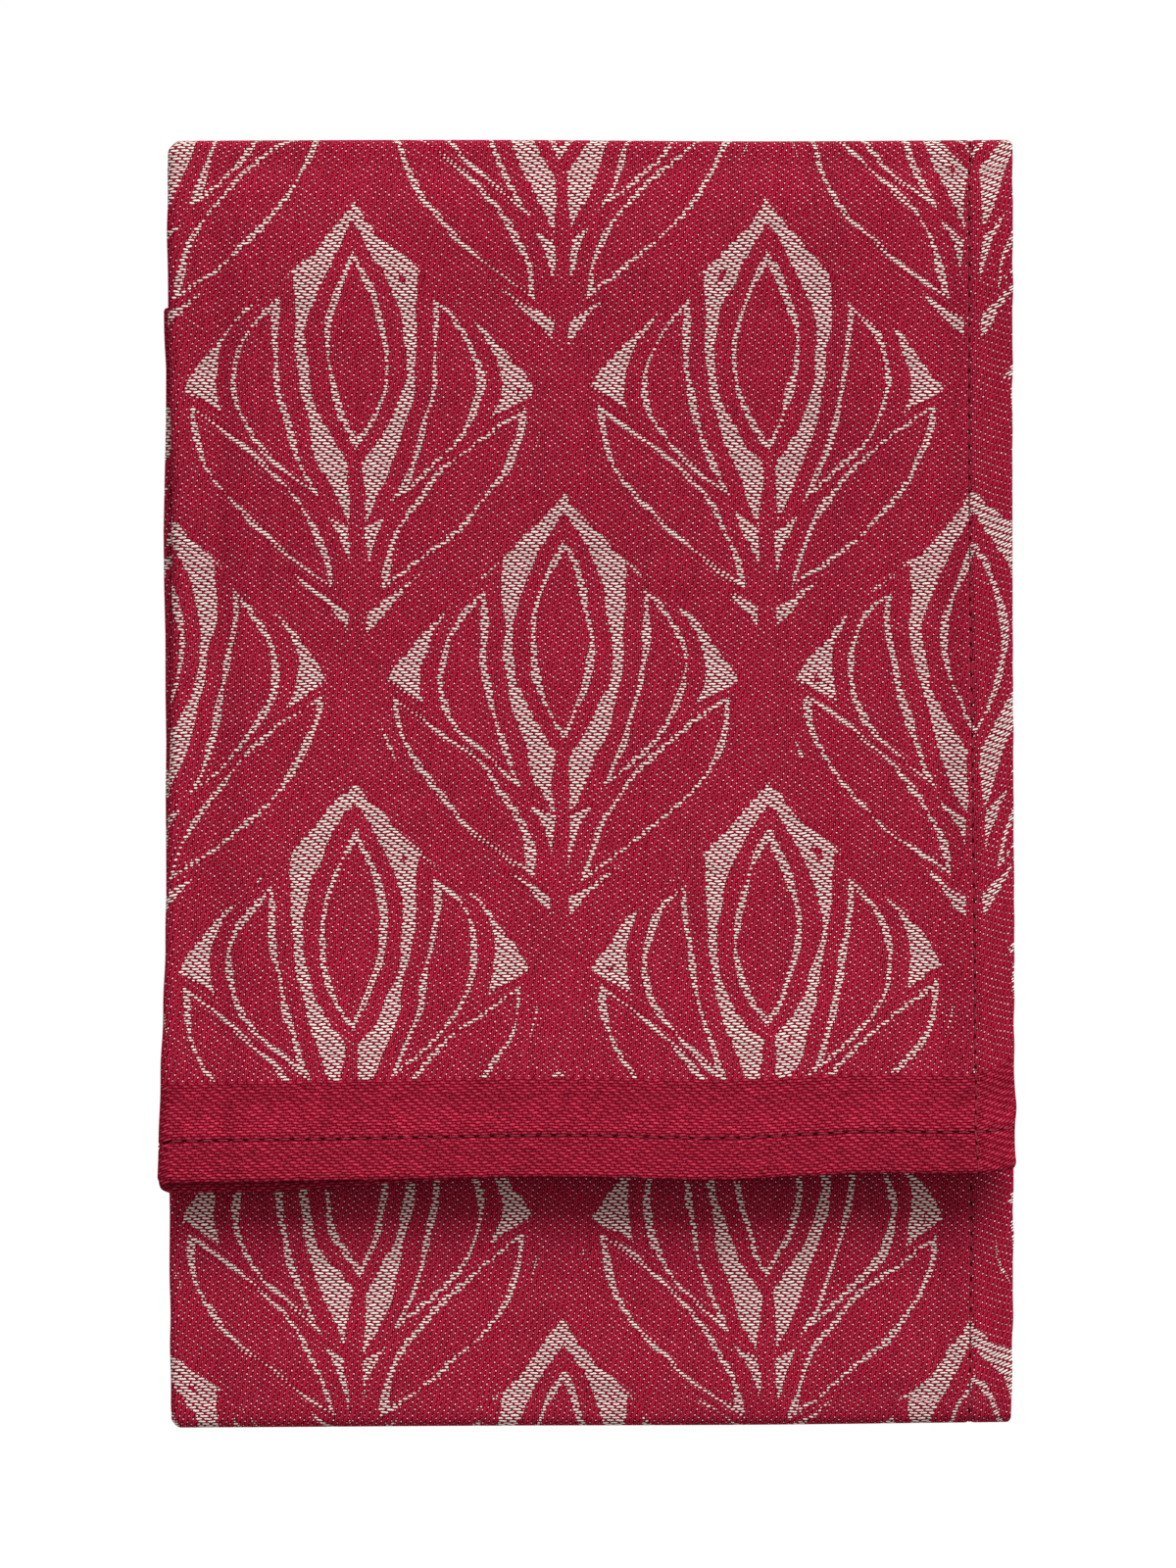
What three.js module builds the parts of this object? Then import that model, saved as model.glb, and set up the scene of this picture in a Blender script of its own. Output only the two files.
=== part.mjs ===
// A folded tea towel: one hemmed cloth, folded in three across its width and then in three along its
// length. Millimetres, +X across the folded towel, +Y towards its top fold, +Z up from what it lies on.
//
// Across the width the cloth makes a pack of three layers. The back layer joins the cover layer round
// the left fold and the tuck layer round the right fold, and the tuck layer lies between the two.
// Along the length the pack makes three panels. The base panel lies on the surface, the lower panel is
// turned up over it round the bottom fold, and the upper panel is turned down over both round the top fold.
import * as THREE from "three";

// The cloth, hemmed and laid flat.
const CLOTH_WIDTH = 500;
const CLOTH_LENGTH = 700;
const THICKNESS = 1.0;
const SIDE_HEM = 8.6;
const END_HEM = 8.5;
const HEM_EXTRA = 0.4;
const HEM_EASE = 6;

// The folded towel.
const FOLDED_LEFT = -85.8;
const FOLDED_RIGHT = 86.3;
const FOLDED_TOP = 130.9;
const FOLDED_BOTTOM = -130.9;
const UPPER_HEM = -80.5;
const AIR = 0.3;
const TOP_LOOP = 1.2;
const BOTTOM_LOOP = 0.7;
const LOOP_EASE = 18;
const HEM_LIFT = 1.2;
const HEM_LIFT_LENGTH = 34;
const RAMP_CLEARANCE = 1.5;
const SKEW_LENGTH = 140;

// Facets of the folds, each a half turn, and the places along each panel's plain stretch with a row of
// facets. The base panel's are shares of its length.
const LEFT_FACETS = 5;
const RIGHT_FACETS = 4;
const TOP_FACETS = 7;
const BOTTOM_FACETS = 6;
const UPPER_PLACES = [-48, -20, 5, 30, 55];
const BASE_SHARES = [0.3, 0.65];
const LOWER_PLACES = [-86, -45, -5, 30, 55];
const RAMP_SHARES = [0.3, 0.6, 0.85];

// How far the folded edges stray from straight, a row for each place along a panel.
const UPPER_EDGES = [
  { at: 130.9, left: -85.6, right: 86.3 },
  { at: 96.0, left: -85.4, right: 86.3 },
  { at: 62.0, left: -84.7, right: 86.2 },
  { at: 24.0, left: -84.9, right: 86.4 },
  { at: -20.0, left: -85.8, right: 86.6 },
  { at: -56.0, left: -86.8, right: 86.7 },
  { at: -80.5, left: -87.5, right: 87.2 },
];
const BASE_EDGES = [
  { at: 130.9, left: -85.6, right: 86.3 },
  { at: 0.0, left: -85.2, right: 86.0 },
  { at: -130.9, left: -84.9, right: 86.2 },
];
const LOWER_EDGES = [
  { at: 96.8, left: -86.4, right: 86.3 },
  { at: 78.0, left: -86.0, right: 86.3 },
  { at: 48.0, left: -86.4, right: 86.4 },
  { at: 24.0, left: -86.1, right: 86.5 },
  { at: -20.0, left: -85.9, right: 86.5 },
  { at: -88.0, left: -85.3, right: 86.6 },
  { at: -130.9, left: -84.9, right: 86.2 },
];

// The top and bottom folds, a row for each place across the towel.
const FOLD_LINES = [
  { at: -86.0, top: 130.8, bottom: -131.3 },
  { at: -20.0, top: 131.0, bottom: -130.9 },
  { at: 35.0, top: 130.7, bottom: -130.7 },
  { at: 87.0, top: 131.0, bottom: -130.1 },
];

// The hem end of the upper panel, which the cover and back layers end a little apart.
const HEM_ENDS = [
  { at: -88.0, cover: -81.0, back: -83.2 },
  { at: -64.0, cover: -80.7, back: -82.5 },
  { at: -38.0, cover: -80.4, back: -81.2 },
  { at: -5.0, cover: -80.0, back: -79.9 },
  { at: 28.0, cover: -80.6, back: -79.4 },
  { at: 58.0, cover: -79.2, back: -78.6 },
  { at: 88.0, cover: -78.4, back: -77.8 },
];

const { clamp, lerp, smoothstep } = THREE.MathUtils;

// Lengths of the folded cloth that follow from its cut size.
const LAYER = THICKNESS + AIR;
const PACK = 3 * THICKNESS + 2 * AIR;
const LEFT_RADIUS = PACK / 2;
const RIGHT_RADIUS = (LAYER + THICKNESS) / 2;
const topRadius = TOP_LOOP + PACK;
const bottomRadius = BOTTOM_LOOP + PACK;
const coverRun = FOLDED_RIGHT - FOLDED_LEFT - LEFT_RADIUS;
const backRun = coverRun - RIGHT_RADIUS;
const sideTurns = Math.PI * (LEFT_RADIUS + RIGHT_RADIUS - THICKNESS);
const TUCK_EDGE = FOLDED_RIGHT - RIGHT_RADIUS - (CLOTH_WIDTH - coverRun - backRun - sideTurns);
const upperRun = FOLDED_TOP - topRadius - UPPER_HEM;
const baseRun = FOLDED_TOP - topRadius - FOLDED_BOTTOM - bottomRadius;
const endTurns = Math.PI * (TOP_LOOP + BOTTOM_LOOP + PACK);
const LOWER_END = FOLDED_BOTTOM + bottomRadius + (CLOTH_LENGTH - upperRun - baseRun - endTurns);

// A smooth curve through one column of a table, whose rows run either way.
function along(table, column, at) {
  const rows = table[0].at < table[table.length - 1].at ? table : [...table].reverse();
  const last = rows.length - 1;
  const found = rows.findIndex((row) => row.at > at);
  const i = clamp(found < 0 ? last - 1 : found - 1, 0, last - 1);
  const slope = (k) => {
    const before = rows[Math.max(k - 1, 0)];
    const after = rows[Math.min(k + 1, last)];
    return (after[column] - before[column]) / (after.at - before.at);
  };
  const span = rows[i + 1].at - rows[i].at;
  const s = clamp((at - rows[i].at) / span, 0, 1);
  const hump = s * (1 - s) * span;
  const line = lerp(rows[i][column], rows[i + 1][column], s * s * (3 - 2 * s));
  return line + hump * ((1 - s) * slope(i) - s * slope(i + 1));
}

// The share of a hem's extra thickness that is left at a distance from the cloth's edge.
function hemShare(distance, width) {
  return clamp(1 - (distance - width) / HEM_EASE, 0, 1);
}

// The three layers at one place: the thickness of each, and the height of its right side in the pack.
function layersAt(x, rightEdge, fromEnd) {
  const plain = THICKNESS + HEM_EXTRA * hemShare(fromEnd, END_HEM);
  const coverHem = HEM_EXTRA * hemShare(rightEdge - x, SIDE_HEM);
  const tuckHem = HEM_EXTRA * Math.min(hemShare(x - TUCK_EDGE, SIDE_HEM), hemShare(TUCK_EDGE - x, 0));
  const tuckTop = 2 * plain + AIR + tuckHem;
  return {
    back: { thick: plain, top: 0 },
    tuck: { thick: plain + tuckHem, top: tuckTop },
    cover: { thick: plain + coverHem, top: tuckTop + AIR + plain + coverHem },
  };
}

// The places of the pack's section at one place along the towel, from the cover layer's side hem to the
// tuck layer's. Each gives its point at a depth into the cloth, from 0 on the right side to 1 on the wrong.
function packSection({ left, right, fromEnd }) {
  const middle = lerp(TUCK_EDGE + SIDE_HEM, right - SIDE_HEM, 0.5);
  const marks = [
    TUCK_EDGE - HEM_EASE,
    TUCK_EDGE,
    TUCK_EDGE + SIDE_HEM,
    TUCK_EDGE + SIDE_HEM + HEM_EASE,
    lerp(TUCK_EDGE, middle, 0.6),
    middle,
    lerp(middle, right, 0.4),
    right - SIDE_HEM - HEM_EASE,
    right - SIDE_HEM,
  ];
  const nearFold = layersAt(left, right, fromEnd);
  const leftRadius = nearFold.cover.top / 2;
  const rightRadius = nearFold.tuck.top / 2;
  const foldStart = left + leftRadius;
  const foldEnd = right - rightRadius;

  const flat = (layer, x, share) => ({
    share,
    point: (depth) => {
      const { thick, top } = layersAt(x, right, fromEnd)[layer];
      return { x, up: layer === "back" ? depth * thick : top - depth * thick };
    },
  });
  const round = (centre, radius, angle, share) => ({
    share,
    point: (depth) => {
      const reach = radius - depth * nearFold.back.thick;
      return { x: centre + reach * Math.cos(angle), up: radius + reach * Math.sin(angle) };
    },
  });

  const places = [flat("cover", right, 0)];
  for (const x of [...marks].reverse()) places.push(flat("cover", x, 0));
  for (let k = 0; k <= LEFT_FACETS; k++) {
    const turn = k / LEFT_FACETS;
    places.push(round(foldStart, leftRadius, Math.PI * (0.5 + turn), turn));
  }
  for (const x of marks) places.push(flat("back", x, 1));
  for (let k = 0; k <= RIGHT_FACETS; k++) {
    const turn = k / RIGHT_FACETS;
    places.push(round(foldEnd, rightRadius, Math.PI * (turn - 0.5), 1));
  }
  for (const x of marks.slice(1).reverse()) places.push(flat("tuck", x, 2));
  return places;
}

// The height of the lower panel's pack at one place.
function lowerTop(x, y) {
  return layersAt(x, along(LOWER_EDGES, "right", y), LOWER_END - y).cover.top;
}

// The height of the base panel's pack at one place, and the fold lines' centres.
function baseAt(x, y) {
  const pack = layersAt(x, along(BASE_EDGES, "right", y), Infinity).cover.top;
  return {
    pack,
    topCentre: along(FOLD_LINES, "top", x) - TOP_LOOP - pack,
    bottomCentre: along(FOLD_LINES, "bottom", x) + BOTTOM_LOOP + pack,
  };
}

// Where a layer of the upper panel really ends, from its share of the way from cover to back.
function hemEnd(share, x) {
  const cover = along(HEM_ENDS, "cover", x);
  const back = along(HEM_ENDS, "back", x);
  return share > 1 ? Math.max(cover, back) : lerp(cover, back, share);
}

// The upper panel: it rests on the lower one, comes down past its end to the top fold, and its own hem
// end lifts a little.
function layUpper(y0) {
  return (x, up, share) => {
    const skew = smoothstep(UPPER_HEM + SKEW_LENGTH - y0, 0, SKEW_LENGTH);
    const y = y0 + (hemEnd(share, x) - UPPER_HEM) * skew;
    const { pack, topCentre } = baseAt(x, y);
    const overLower = pack + AIR + lowerTop(x, y) + AIR;
    const atFold = pack + 2 * TOP_LOOP;
    const down = smoothstep(y, LOWER_END + RAMP_CLEARANCE, topCentre);
    const lift = HEM_LIFT * (1 - clamp((y0 - UPPER_HEM) / HEM_LIFT_LENGTH, 0, 1)) ** 2;
    return [x, y, lerp(overLower, atFold, down) + lift + up];
  };
}

// The base panel, its cover layer flat on the surface.
function layBase(share) {
  return (x, up) => {
    const { pack, topCentre, bottomCentre } = baseAt(x, lerp(FOLDED_TOP, FOLDED_BOTTOM, share));
    return [x, lerp(topCentre, bottomCentre, share), pack - up];
  };
}

// The lower panel, close to the base panel but for the loop of the bottom fold.
function layLower(y) {
  return (x, up) => {
    const { pack, bottomCentre } = baseAt(x, y);
    const open = 1 - smoothstep(y, bottomCentre, bottomCentre + LOOP_EASE);
    return [x, Math.max(y, bottomCentre), pack + lerp(AIR, 2 * BOTTOM_LOOP, open) + up];
  };
}

// The top and bottom folds, half turns of the whole pack.
function layFold(side, turn) {
  return (x, up) => {
    const { pack, topCentre, bottomCentre } = baseAt(x, side > 0 ? FOLDED_TOP : FOLDED_BOTTOM);
    const loop = side > 0 ? TOP_LOOP : BOTTOM_LOOP;
    const centre = side > 0 ? topCentre : bottomCentre;
    const reach = loop + up;
    const angle = Math.PI * (side > 0 ? 0.5 - turn : turn - 0.5);
    return [x, centre + side * reach * Math.cos(angle), pack + loop + reach * Math.sin(angle)];
  };
}

// Every place along the pack, from the upper panel's hem end to the lower panel's.
function packRows() {
  const rampStart = LOWER_END + RAMP_CLEARANCE;
  const rampEnd = FOLDED_TOP - TOP_LOOP - PACK;
  const upper = [
    UPPER_HEM,
    UPPER_HEM + END_HEM,
    UPPER_HEM + END_HEM + HEM_EASE,
    ...UPPER_PLACES,
    LOWER_END - END_HEM - HEM_EASE,
    LOWER_END - END_HEM,
    rampStart,
    ...RAMP_SHARES.map((share) => lerp(rampStart, rampEnd, share)),
  ];
  const lower = [
    FOLDED_BOTTOM + bottomRadius + 0.35 * LOOP_EASE,
    FOLDED_BOTTOM + bottomRadius + LOOP_EASE,
    ...LOWER_PLACES,
    LOWER_END - END_HEM - HEM_EASE,
    LOWER_END - END_HEM,
    LOWER_END,
  ];
  const rows = [];
  const addRow = (table, y, fromEnd, lay) => {
    rows.push({ left: along(table, "left", y), right: along(table, "right", y), fromEnd, lay });
  };
  for (const y of upper) addRow(UPPER_EDGES, y, y - UPPER_HEM, layUpper(y));
  for (let k = 0; k <= TOP_FACETS; k++) {
    addRow(BASE_EDGES, FOLDED_TOP, Infinity, layFold(1, k / TOP_FACETS));
  }
  for (const share of BASE_SHARES) {
    addRow(BASE_EDGES, lerp(FOLDED_TOP, FOLDED_BOTTOM, share), Infinity, layBase(share));
  }
  for (let k = 0; k <= BOTTOM_FACETS; k++) {
    addRow(BASE_EDGES, FOLDED_BOTTOM, Infinity, layFold(-1, k / BOTTOM_FACETS));
  }
  for (const y of lower) addRow(LOWER_EDGES, y, LOWER_END - y, layLower(y));
  return rows;
}

// The flat cloth is a thin box whose grid points are carried to their places in the folded towel.
function foldedCloth() {
  const rows = packRows();
  const sections = rows.map(packSection);
  const across = sections[0].length - 1;
  const lengthwise = rows.length - 1;
  const cloth = new THREE.BoxGeometry(1, 1, 1, across, lengthwise, 1);
  const points = cloth.getAttribute("position");
  for (let n = 0; n < points.count; n++) {
    const place = across - Math.round((points.getX(n) + 0.5) * across);
    const row = Math.round((points.getY(n) + 0.5) * lengthwise);
    const depth = 0.5 - points.getZ(n);
    const { share, point } = sections[row][place];
    const { x, up } = point(depth);
    points.setXYZ(n, ...rows[row].lay(x, up, share));
  }
  cloth.computeBoundingBox();
  const middle = cloth.boundingBox.getCenter(new THREE.Vector3());
  cloth.translate(-middle.x, -middle.y, 0);
  cloth.computeVertexNormals();
  return cloth;
}

const redCotton = new THREE.MeshStandardMaterial({ color: 0x95233a, roughness: 0.9, metalness: 0 });
const towel = new THREE.Mesh(foldedCloth(), redCotton);
towel.name = "towel";

const foldedTowel = new THREE.Group();
foldedTowel.add(towel);

export default foldedTowel;
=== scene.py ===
# %% [markdown]
# # A folded tea towel
# The real thing is one cloth of cotton damask, 500 by 700 mm, hemmed on all four sides, folded in three
# across its width and then in three along its length. It lies flat and is seen from straight above.
# This script lays a fine sheet on the folds of the packed solid, sews its hems and weaves its surface.
# Lengths in the script are millimetres, +X across the folded towel, +Y towards its top fold, +Z up.
# They are turned into Blender's metres where points are written.

# %% The frame
import math
import random

import bmesh
import bpy
import numpy as np
from mathutils import Matrix, Vector


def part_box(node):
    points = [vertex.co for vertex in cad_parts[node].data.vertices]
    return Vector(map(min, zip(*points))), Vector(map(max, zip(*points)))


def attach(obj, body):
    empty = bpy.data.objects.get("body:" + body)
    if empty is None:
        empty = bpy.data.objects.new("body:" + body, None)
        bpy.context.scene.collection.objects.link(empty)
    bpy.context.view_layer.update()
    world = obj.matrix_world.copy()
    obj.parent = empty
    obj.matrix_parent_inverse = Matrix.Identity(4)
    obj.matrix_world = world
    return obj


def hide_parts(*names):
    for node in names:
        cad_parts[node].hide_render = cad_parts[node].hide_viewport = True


MM = 0.001

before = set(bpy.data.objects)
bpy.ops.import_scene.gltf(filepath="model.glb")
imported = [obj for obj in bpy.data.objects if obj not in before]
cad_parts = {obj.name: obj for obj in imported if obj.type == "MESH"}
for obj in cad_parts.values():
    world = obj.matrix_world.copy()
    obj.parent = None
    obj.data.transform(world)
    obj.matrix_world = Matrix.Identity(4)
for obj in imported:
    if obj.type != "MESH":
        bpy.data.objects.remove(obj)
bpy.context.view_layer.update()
towel_low, towel_high = (np.array(corner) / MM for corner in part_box("towel"))
print("the solid towel is", np.round(towel_high - towel_low, 1), "mm")

# %% [markdown]
# ## The cut of the cloth
# A tea towel starts as a cut length of cloth whose edges are turned and sewn. Everything that follows is
# worked out from its size, its thickness and where the folded towel's edges lie, so these come first.
# They are nearly the same values as the solid's, which keeps the sheet on the solid's folds. Only the air
# between layers and the lift of the hem end are larger, for the look of the towel from above.

# %% Sizes of the cloth
CLOTH_WIDTH = 500.0
CLOTH_LENGTH = 700.0
THICKNESS = 1.0
SIDE_HEM = 8.6
END_HEM = 8.5
HEM_EXTRA = 0.4
HEM_EASE = 6.0
TUCK_EASE = 30.0
print(f"a cloth of {CLOTH_WIDTH:.0f} by {CLOTH_LENGTH:.0f} mm, {THICKNESS} mm thick")

# %% Where the folded towel's edges lie
FOLDED_LEFT = -85.8
FOLDED_RIGHT = 86.3
FOLDED_TOP = 130.9
FOLDED_BOTTOM = -130.9
UPPER_HEM = -80.5
AIR = 0.3
COVER_AIR = 0.42
PANEL_AIR = 0.45
TOP_LOOP = 1.2
BOTTOM_LOOP = 0.7
LOOP_EASE = 40.0
HEM_LIFT_LEFT = 4.1
HEM_LIFT_RIGHT = 5.3
HEM_LIFT_LENGTH = 150.0
RAMP_CLEARANCE = 1.5
SKEW_LENGTH = 140.0

# %% Lengths that follow from the cut
PACK = 3 * THICKNESS + 2 * AIR
LEFT_RADIUS = PACK / 2
RIGHT_RADIUS = THICKNESS + AIR / 2
TOP_RADIUS = TOP_LOOP + PACK
BOTTOM_RADIUS = BOTTOM_LOOP + PACK
cover_run = FOLDED_RIGHT - FOLDED_LEFT - LEFT_RADIUS
back_run = cover_run - RIGHT_RADIUS
left_turn_run = math.pi * (LEFT_RADIUS - THICKNESS / 2)
right_turn_run = math.pi * (RIGHT_RADIUS - THICKNESS / 2)
tuck_run = CLOTH_WIDTH - cover_run - back_run - left_turn_run - right_turn_run
TUCK_EDGE = FOLDED_RIGHT - RIGHT_RADIUS - tuck_run

upper_run = FOLDED_TOP - TOP_RADIUS - UPPER_HEM
base_run = FOLDED_TOP - TOP_RADIUS - FOLDED_BOTTOM - BOTTOM_RADIUS
top_turn_run = math.pi * (TOP_LOOP + PACK / 2)
bottom_turn_run = math.pi * (BOTTOM_LOOP + PACK / 2)
lower_run = CLOTH_LENGTH - upper_run - base_run - top_turn_run - bottom_turn_run
LOWER_END = FOLDED_BOTTOM + BOTTOM_RADIUS + lower_run
print(f"cover {cover_run:.1f}, back {back_run:.1f}, tuck {tuck_run:.1f} mm wide")
print(f"upper panel {upper_run:.1f}, base {base_run:.1f}, lower panel {lower_run:.1f} mm long")

# %% [markdown]
# ## Folds that aren't quite straight
# Nobody folds a towel dead straight. Each folded edge wanders by a millimetre or so, and the layers end a
# little apart. Short tables give where each edge passes, a column for each edge, and a smooth curve runs
# through them. A table is easier to read and to change than a formula here, because the wandering has no
# rule. The upper panel flares a little towards its hem, and its side hem narrows there.
# "under" is the fold below the side hem, and "hem" is how wide the side hem looks.

# %% Where the folded edges pass
UPPER_EDGES = {
    "at": [-80.5, -72.0, -68.5, -65.0, -56.0, -20.0, 24.0, 62.0, 96.0, 130.9],
    "left": [-87.6, -87.3, -87.2, -87.1, -86.8, -85.7, -84.8, -84.7, -85.4, -85.6],
    "right": [87.1, 86.5, 86.5, 86.6, 86.6, 86.6, 86.4, 86.2, 86.3, 86.3],
    "under": [86.5, 86.8, 87.1, 86.8, 86.4, 86.3, 86.1, 85.9, 86.0, 86.1],
    "hem": [7.8, 7.8, 7.8, 7.8, 7.9, 8.2, 8.5, 8.7, 8.8, 8.8],
}
BASE_EDGES = {
    "at": [-130.9, 0.0, 130.9],
    "left": [-84.9, -85.2, -85.6],
    "right": [86.2, 86.0, 86.3],
    "under": [86.0, 85.8, 86.1],
    "hem": [8.6, 8.6, 8.6],
}
LOWER_EDGES = {
    "at": [-130.9, -88.0, -20.0, 24.0, 48.0, 78.0, 96.8],
    "left": [-84.9, -85.3, -85.9, -86.1, -86.4, -86.0, -86.4],
    "right": [86.2, 86.6, 86.5, 86.5, 86.4, 86.3, 86.3],
    "under": [86.0, 86.3, 86.3, 86.2, 86.1, 86.0, 86.0],
    "hem": [8.6, 8.6, 8.6, 8.6, 8.6, 8.6, 8.6],
}
FOLD_LINES = {
    "at": [-86.0, -20.0, 35.0, 87.0],
    "top": [130.8, 131.0, 130.7, 131.0],
    "bottom": [-131.3, -130.9, -130.7, -130.1],
}
HEM_ENDS = {
    "at": [-88.0, -64.0, -38.0, -5.0, 28.0, 44.0, 58.0, 78.0, 88.0],
    "cover": [-81.3, -80.9, -80.5, -80.0, -80.6, -79.8, -79.2, -79.3, -78.2],
    "back": [-83.3, -83.0, -81.2, -79.9, -79.4, -79.0, -78.6, -78.6, -77.6],
}


def curve_through(table, column, at):
    """The smooth curve through one column of a table, at one place or at many."""
    places = np.array(table["at"], float)
    values = np.array(table[column], float)
    last = len(places) - 1
    before = np.maximum(np.arange(last + 1) - 1, 0)
    after = np.minimum(np.arange(last + 1) + 1, last)
    slopes = (values[after] - values[before]) / (places[after] - places[before])
    i = np.clip(np.searchsorted(places, at, side="right") - 1, 0, last - 1)
    span = places[i + 1] - places[i]
    s = np.clip((at - places[i]) / span, 0, 1)
    line = values[i] + (values[i + 1] - values[i]) * s * s * (3 - 2 * s)
    return line + s * (1 - s) * span * ((1 - s) * slopes[i] - s * slopes[i + 1])


middle_width = curve_through(UPPER_EDGES, "right", 0) - curve_through(UPPER_EDGES, "left", 0)
print(f"the upper panel is {middle_width:.1f} mm wide in its middle")

# %% [markdown]
# ## Stations on the flat cloth
# Before it is folded, the cloth is a flat grid. Its lines are the stations: one place across the width for
# each column and one along the length for each row. Small things need close lines, so the lines crowd at
# the hems that show and round the folds, and are wide apart where cloth lies on cloth unseen.
# Rows along the side hem lie half a stitch apart, so that each needle hole and each stitch has its own row.

# %% Stations across the cloth
STITCH = 3.1
HALF_STITCH = STITCH / 2
EDGE_STEPS = [0.0, 0.05, 0.17, 0.38, 0.7]
FIRST_STEP = 0.4
HEM_STEP = 0.55
HEM_ZONE = 13.0
HIDDEN_STEP = 11.0
LEFT_TURN_STEPS = 10
RIGHT_TURN_STEPS = 6
TUCK_HEM_STEPS = [13.0, 9.0, 8.6, 8.0, 4.0, 0.7, 0.38, 0.17, 0.05, 0.0]


def spread(start, end, step):
    """Evenly spread places from start up to but not at end, about a step apart."""
    count = max(1, round(abs(end - start) / step))
    return np.linspace(start, end, count, endpoint=False)


near_edge = np.concatenate([EDGE_STEPS, spread(EDGE_STEPS[-1] + FIRST_STEP, HEM_ZONE, HEM_STEP)])
cover_places = np.concatenate([near_edge, spread(HEM_ZONE, cover_run, HALF_STITCH)])
left_turns = spread(0, 1, 1 / LEFT_TURN_STEPS)
back_shares = spread(0, 1, HIDDEN_STEP / back_run)
right_turns = spread(0, 1, 1 / RIGHT_TURN_STEPS)
tuck_from_edge = np.concatenate([spread(tuck_run, HEM_ZONE, HIDDEN_STEP), TUCK_HEM_STEPS])

back_start = cover_run + left_turn_run
right_start = back_start + back_run
u_places = np.concatenate([
    cover_places,
    cover_run + left_turn_run * left_turns,
    back_start + back_run * back_shares,
    right_start + right_turn_run * right_turns,
    CLOTH_WIDTH - tuck_from_edge,
])
COVER_COUNT = len(cover_places)
print(len(u_places), "columns,", COVER_COUNT, "of them in the cover layer")

# %% [markdown]
# The two end folds aren't half circles. They are pressed, with a flat top and a tight edge, which a power of
# the sine and cosine gives: 1 is a circle and a smaller power is squarer. The cloth's own length round such
# a fold is measured along the shape, so that the yarns aren't stretched there.

# %% The shape of an end fold
PRESSED = 0.42
FOLD_SAMPLES = 721
fold_angles = np.linspace(math.pi / 2, -math.pi / 2, FOLD_SAMPLES)


def pressed_round(angle):
    """How far out and how far over a pressed fold is at an angle, as shares of its radius."""
    out = np.abs(np.cos(angle)) ** PRESSED
    over = np.copysign(np.abs(np.sin(angle)) ** PRESSED, np.sin(angle))
    return out, over


fold_shape = np.array(pressed_round(fold_angles))
fold_arc = np.concatenate([[0], np.cumsum(np.hypot(*np.diff(fold_shape)))])


def arc_share(turn):
    """The share of the cloth of a fold that lies before a turn."""
    return float(np.interp(turn, np.linspace(0, 1, len(fold_arc)), fold_arc / fold_arc[-1]))


print(f"a pressed fold is {fold_arc[-1]:.2f} radii long, a round one {math.pi:.2f}")

# %% Stations along the cloth
TOP_TURN_STEPS = 14
BOTTOM_TURN_STEPS = 12
SEEN_LOWER_END = -78.0
lower_start = FOLDED_BOTTOM + BOTTOM_RADIUS
base_start = upper_run + top_turn_run
bottom_start = base_start + base_run

rows = []
for distance in np.concatenate([near_edge, spread(HEM_ZONE, upper_run, HALF_STITCH)]):
    rows.append({"panel": "upper", "v": distance, "y": UPPER_HEM + distance})
for turn in spread(0, 1, 1 / TOP_TURN_STEPS):
    rows.append({"panel": "top fold", "v": upper_run + arc_share(turn) * top_turn_run, "turn": turn})
for share in spread(0, 1, HIDDEN_STEP / base_run):
    rows.append({"panel": "base", "v": base_start + base_run * share, "share": share})
for turn in spread(0, 1, 1 / BOTTOM_TURN_STEPS):
    rows.append({"panel": "bottom fold", "v": bottom_start + arc_share(turn) * bottom_turn_run, "turn": turn})
lower_places = np.concatenate([
    spread(lower_start, SEEN_LOWER_END, HALF_STITCH),
    spread(SEEN_LOWER_END, LOWER_END - HEM_ZONE, HIDDEN_STEP),
    LOWER_END - near_edge[::-2],
])
for y in lower_places:
    rows.append({"panel": "lower", "v": CLOTH_LENGTH - LOWER_END + y, "y": y})
print(len(rows), "rows")

# %% [markdown]
# ## The thickness of three layers
# Across the width the cloth makes a pack: a back layer, a tuck layer folded over it from the right, and a
# cover layer folded over both from the left. A hem is cloth turned on itself, so it is thicker, and its
# outer edge is round, because it is a fold. The cover layer eases down slowly past the hem that is tucked
# in under it. A line of stitches pulls the cloth down into a groove.
# All of this is one function of the place on the cloth, so every layer gets it in the same way.

# %% Layers, hem edges and grooves
GROOVE_DEPTH = 0.3
GROOVE_WIDTH = 0.75
HOLE_EXTRA = 0.12
LEAST_EDGE = 0.06


def smooth(t):
    """A soft step from 0 to 1."""
    t = np.clip(t, 0, 1)
    return t * t * (3 - 2 * t)


def hem_share(distance, width):
    """The share of a hem's extra thickness at a distance from the cloth's edge."""
    return smooth(1 - (distance - width) / HEM_EASE)


def edge_roundness(distance, thick):
    """The share of the thickness that is left near the round edge of a hem."""
    near = np.clip(1 - distance / (thick / 2), 0, 1)
    return np.sqrt(1 - near**2 * (1 - LEAST_EDGE**2))


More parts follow.
